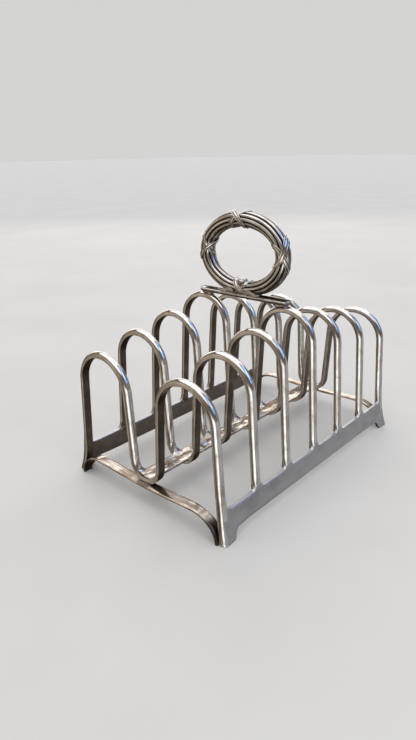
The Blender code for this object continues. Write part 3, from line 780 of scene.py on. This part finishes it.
def build_ring():
    """Oval ring of rounded reeds with grooves between them, darkened as painted shade."""
    rings, shade_and_tarnish = [], []
    for i in range(RING_STEPS):
        angle = 2 * math.pi * i / RING_STEPS
        ring, dark = [], []
        for k in range(REED_COUNT * REED_POINTS):
            phase = (k % REED_POINTS) / REED_POINTS
            spot = math.sin(math.pi * (phase - 0.5))
            around = 2 * math.pi * (k // REED_POINTS + 0.5 + spot / 2) / REED_COUNT
            height = math.sqrt(max(0.0, 1 - abs(spot) ** 2.2))
            ring.append(tube_point(angle, around, RING_TUBE_RADIUS - REED_DEPTH * (1 - height)))
            # painted shade in the grooves, none on the reeds' crests
            dark.append(min(1.0, 1.9 * (1 - height) ** 0.72))
        rings.append(ring)
        shade_and_tarnish.append(dark)
    obj = build("ring_reeds", rings, shade_and_tarnish, closed=True)
    return settle(obj, CAST_SILVER, "cast_silver", "handle_ring")


def band_rings(middle, crossing, spread, raised, start, stop):
    """Ribbon wound round the tube, with a broad ridge along its middle and a cord along each edge."""
    per_metre = 1 / math.hypot(RING_HALF_WIDTH * math.sin(middle), RING_HALF_HEIGHT * math.cos(middle))
    # the third number is painted shade: in the valleys beside the middle ridge and the edge cords, at the
    # edges and under the band
    half = [(0.0, 0.46, 0.0), (0.3, 0.40, 0.0), (0.48, 0.10, 0.9), (0.62, 0.14, 0.7), (0.74, 0.58, 0.0),
            (0.9, 0.56, 0.0), (1.0, 0.1, 0.7), (1.0, -0.9, 1.0)]
    profile = [(-side, lift, dark) for side, lift, dark in reversed(half[1:])] + half
    rings = []
    for around in linear(start, stop, BAND_STEPS):
        drift = spread * math.sin(around - crossing)
        slope = spread * math.cos(around - crossing) / RING_TUBE_RADIUS
        stretch = math.hypot(1, slope)
        ring = []
        for side, lift, _ in profile:
            radius = RING_TUBE_RADIUS + raised + lift * BAND_THICK
            offset = side * BAND_HALF
            turn = around - offset * slope / stretch / RING_TUBE_RADIUS
            shift = drift + offset / stretch
            ring.append(tube_point(middle + shift * per_metre, turn, radius))
        rings.append(ring)
    return rings, [[dark for _, _, dark in profile]] * len(rings)


def build_tie(label):
    """Two crossed bands; the bottom tie leaves a gap where the ring meets the trough."""
    degrees, crossing, spread = TIES[label]
    closed = label != "bottom"
    start = 0.0 if closed else BOTTOM_TIE_GAP
    for number, (sign, raised) in enumerate(((1, 0.0), (-1, BAND_RAISE))):
        rings, shade_and_tarnish = band_rings(math.radians(degrees), math.radians(crossing), sign * spread, raised,
                                  start, 2 * math.pi - start)
        if closed:
            rings, shade_and_tarnish = rings[:-1], shade_and_tarnish[:-1]
        obj = build(f"ribbon_{label}_{number + 1}", rings, shade_and_tarnish, closed=closed)
        settle(obj, CAST_SILVER, "cast_silver", f"ribbon_tie_{label}")


def build_boss():
    """Dome with a small collar, leaning forward over the bottom tie."""
    low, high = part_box("ring_boss")
    bottom, outward, along = ring_frame(math.radians(270.0))
    axis = (-outward * math.cos(BOSS_TILT) + Vector((0, -math.sin(BOSS_TILT), 0))).normalized()
    lift = axis.cross(along)
    seat = bottom + axis * (RING_TUBE_RADIUS - BOSS_SUNK)
    height = (high.z - low.z) * 0.95
    # the third number is painted shade: at the foot, above the collar, and on the dome's sides, fading to
    # none on top
    profile = [(1.0, 0.0, 1.0), (1.08, 0.16, 0.4), (1.0, 0.30, 0.9)]
    profile += [(math.cos(a) * 0.97, 0.30 + 0.70 * math.sin(a), 0.55 * math.cos(a))
                for a in linear(0.12, math.pi / 2 - 0.1, 8)]
    rings, shade_and_tarnish = [], []
    for wide, tall, dark in profile:
        ring = []
        for turn in linear(0.0, 2 * math.pi, BOSS_POINTS)[:-1]:
            spoke = along * math.cos(turn) + lift * math.sin(turn)
            ring.append(seat + axis * (height * tall) + spoke * (BOSS_RADIUS * wide))
        rings.append(ring)
        shade_and_tarnish.append([dark] * BOSS_POINTS)
    obj = build("ring_dome", rings, shade_and_tarnish)
    return settle(obj, CAST_SILVER, "cast_silver", "ring_boss")


def build_tail(name, side):
    """Ridged ribbon end with a lazy wave, lying along the trough."""
    low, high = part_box(name)
    start_x, end_x = (low.x, high.x) if side > 0 else (high.x, low.x)
    mid_y, mid_z = (low.y + high.y) / 2, (low.z + high.z) / 2
    # the third number is painted shade: in the valleys and at the edges between the ridges, and on the back
    profile = [(-1.0, -0.2, 0.9), (-0.85, 0.55, 0.1), (-0.5, 0.2, 0.9), (0.0, 0.5, 0.1), (0.5, 0.2, 0.9),
               (0.85, 0.55, 0.1), (1.0, -0.2, 0.9), (0.0, -0.5, 1.0)]
    rings = []
    for t in linear(0.0, 1.0, 30):
        swell = 0.55 + 0.6 * math.sin(math.pi * min(1.0, t * 1.15)) ** 0.8
        wave = TAIL_WAVE * math.sin(2 * math.pi * t)
        rings.append([Vector((start_x + (end_x - start_x) * t, mid_y - out * TAIL_THICK,
                              mid_z + wave + across * TAIL_HALF_WIDTH * swell))
                      for across, out, _ in profile])
    obj = build(name + "_leaf", rings, [[dark for _, _, dark in profile]] * len(rings))
    return settle(obj, CAST_SILVER, "cast_silver", name)


for hoop_index in range(len(HOOPS)):
    build_hoop(hoop_index)
build_side_rail("side_rail_left", -1)
build_side_rail("side_rail_right", 1)
build_end_bar("end_bar_front", -1)
build_end_bar("end_bar_rear", 1)
build_centre_bar()
for end_name, end in (("front", -1), ("rear", 1)):
    build_foot_fill(f"foot_solder_{end_name}_left", -1, end)
    build_foot_fill(f"foot_solder_{end_name}_right", 1, end)
build_trough()
build_saddle("saddle_left", -1)
build_saddle("saddle_right", 1)
build_ring()
for tie_label in TIES:
    build_tie(tie_label)
build_boss()
build_tail("ribbon_tail_left", -1)
build_tail("ribbon_tail_right", 1)


# ---- floor, light and camera ------------------------------------------------------------------
FLOOR_SIZE = 30.0
FLOOR_DROP = 0.05 * MM
FLOOR_TONES = (0.56, 0.55, 0.535), (0.59, 0.58, 0.565)


def make_floor():
    """Plain pale floor, kept out of the metal's reflections, where it would wash out the dark tones."""
    bpy.ops.mesh.primitive_plane_add(size=FLOOR_SIZE, location=(0, 0, -FLOOR_DROP))
    floor = bpy.context.object
    floor.name = "floor"
    material = bpy.data.materials.new("floor_pale")
    nodes = Nodes(material)
    tone = nodes.span(nodes.noise(9.0, 3.0), 0.3, 0.7)
    nodes.link(nodes.mix(tone, *FLOOR_TONES), nodes.shader.inputs["Base Color"])
    nodes.shader.inputs["Roughness"].default_value = 0.6
    floor.data.materials.append(material)
    floor.visible_glossy = False


BACKDROP = (0.66, 0.66, 0.65)
SOFT_LIGHT = (0.82, 0.82, 0.82)
WORLD_STRENGTH = 2.0
BROWN = (0.085, 0.070, 0.056)
DEEP_BROWN = (0.030, 0.024, 0.019)
RED_BROWN = (0.075, 0.042, 0.030)
BEIGE = (0.34, 0.29, 0.23)
CREAM = (0.95, 0.89, 0.80)
GREY = (0.19, 0.19, 0.195)
WHITE = (0.86, 0.87, 0.90)
SKY_BLUE = (0.16, 0.42, 0.95)
# what the metal mirrors, by compass direction in degrees (0 is +X, 90 is +Y)
LOW_DIRECTIONS = [(-180, BROWN), (-125, BEIGE), (-98, DEEP_BROWN), (-78, GREY), (-66, CREAM), (-42, WHITE),
                  (-27, GREY), (80, GREY), (110, BROWN), (180, DEEP_BROWN)]
SIDE_DIRECTIONS = [(-180, BROWN), (-135, BEIGE), (-60, BROWN), (20, BROWN), (60, GREY), (90, RED_BROWN),
                   (104, CREAM), (140, WHITE), (160, CREAM), (180, BROWN)]

# heights in that room, as the z of a direction, between which one tone passes into the next
FLOOR_LINE = (-0.05, 0.03)
STRAIGHT_DOWN = (-0.45, -0.75)
WALL_TOP = (0.43, 0.47)
CEILING = (0.58, 0.64)
# its window, by the cosine of the angle to the window's middle
WINDOW_DIRECTION = (0.70, 0.17, 0.66)
WINDOW_FRAME = (0.80, 0.87)
WINDOW_SKY = (0.885, 0.915)
WINDOW_GLARE = (0.975, 0.99)


def make_world():
    """Even soft light for the floor, and for the metal a room with a pale wall and a cool window."""
    world = bpy.data.worlds.new("studio")
    bpy.context.scene.world = world
    nodes = Nodes(world)
    direction = nodes.tree.nodes.new("ShaderNodeTexCoord").outputs["Generated"]
    split = nodes.tree.nodes.new("ShaderNodeSeparateXYZ")
    nodes.link(direction, split.inputs[0])
    x, y, z = split.outputs
    compass = nodes.math("ADD", nodes.math("DIVIDE", nodes.math("ARCTAN2", y, x), 2 * math.pi), 0.5)

    def by_compass(stops):
        node = nodes.tree.nodes.new("ShaderNodeValToRGB")
        elements = node.color_ramp.elements
        for degrees, _ in stops[1:-1]:
            elements.new(degrees / 360 + 0.5)
        for element, (_, colour) in zip(elements, stops):
            element.color = (*colour, 1.0)
        nodes.link(compass, node.inputs["Fac"])
        return node.outputs["Color"]

    window = nodes.tree.nodes.new("ShaderNodeVectorMath")
    window.operation = "DOT_PRODUCT"
    window.inputs[1].default_value = Vector(WINDOW_DIRECTION).normalized()
    nodes.link(direction, window.inputs[0])
    toward_window = window.outputs["Value"]

    colour = nodes.mix(nodes.span(z, *FLOOR_LINE), by_compass(LOW_DIRECTIONS), by_compass(SIDE_DIRECTIONS))
    for value, band, tone in ((z, STRAIGHT_DOWN, DEEP_BROWN), (z, WALL_TOP, RED_BROWN), (z, CEILING, WHITE),
                              (toward_window, WINDOW_FRAME, RED_BROWN), (toward_window, WINDOW_SKY, SKY_BLUE),
                              (toward_window, WINDOW_GLARE, WHITE)):
        colour = nodes.mix(nodes.span(value, *band), colour, tone)
    rays = nodes.tree.nodes.new("ShaderNodeLightPath").outputs
    soft_light = tuple(value / WORLD_STRENGTH for value in SOFT_LIGHT)
    backdrop = tuple(value / WORLD_STRENGTH for value in BACKDROP)
    colour = nodes.mix(rays["Is Diffuse Ray"], colour, soft_light)
    nodes.link(nodes.mix(rays["Is Camera Ray"], colour, backdrop), nodes.shader.inputs["Color"])
    nodes.shader.inputs["Strength"].default_value = WORLD_STRENGTH


LIGHT_TARGET = Vector((0, 0, 0.05))


def softbox(name, direction, distance, size, power, colour):
    """Area light that the metal doesn't mirror."""
    light = bpy.data.lights.new(name, "AREA")
    light.shape = "RECTANGLE"
    light.size, light.size_y = size
    light.energy = power
    light.color = colour
    lamp = bpy.data.objects.new(name, light)
    bpy.context.scene.collection.objects.link(lamp)
    toward = Vector(direction).normalized()
    lamp.visible_glossy = False
    lamp.location = LIGHT_TARGET + toward * distance
    lamp.rotation_mode = "QUATERNION"
    lamp.rotation_quaternion = toward.to_track_quat("Z", "Y")


CAMERA_PLACE = (0.18234, -0.23097, 0.16216)
CAMERA_AZIMUTH = math.radians(42.159)
CAMERA_PITCH = math.radians(-21.272)
CAMERA_ROLL = math.radians(-1.160)
CAMERA_LENS, CAMERA_SENSOR = 27.2655, 36.0     # in millimetres
CAMERA_CLIP = (0.01, 60.0)


def make_camera():
    """The rack seen from its front right corner, a little above it."""
    data = bpy.data.cameras.new("view")
    data.sensor_width = CAMERA_SENSOR
    data.lens = CAMERA_LENS
    data.clip_start, data.clip_end = CAMERA_CLIP
    camera = bpy.data.objects.new("view", data)
    bpy.context.scene.collection.objects.link(camera)
    azimuth = Matrix.Rotation(CAMERA_AZIMUTH, 4, "Z")
    pitch = Matrix.Rotation(math.pi / 2 + CAMERA_PITCH, 4, "X")
    roll = Matrix.Rotation(CAMERA_ROLL, 4, "Z")
    camera.matrix_world = Matrix.Translation(CAMERA_PLACE) @ azimuth @ pitch @ roll
    bpy.context.scene.camera = camera


make_floor()
make_world()
softbox("wall_box", direction=(-0.75, 0.80, 0.42), distance=1.2, size=(1.1, 0.4), power=1.5,
        colour=(1.0, 0.95, 0.88))
softbox("top_box", direction=(0.10, -0.30, 1.0), distance=1.1, size=(0.6, 0.9), power=3.0,
        colour=(1.0, 0.98, 0.96))
softbox("side_box", direction=(1.0, -0.15, 0.55), distance=1.1, size=(0.15, 0.9), power=1.5,
        colour=(1.0, 1.0, 1.0))
make_camera()

bpy.context.scene.view_settings.view_transform = "Standard"
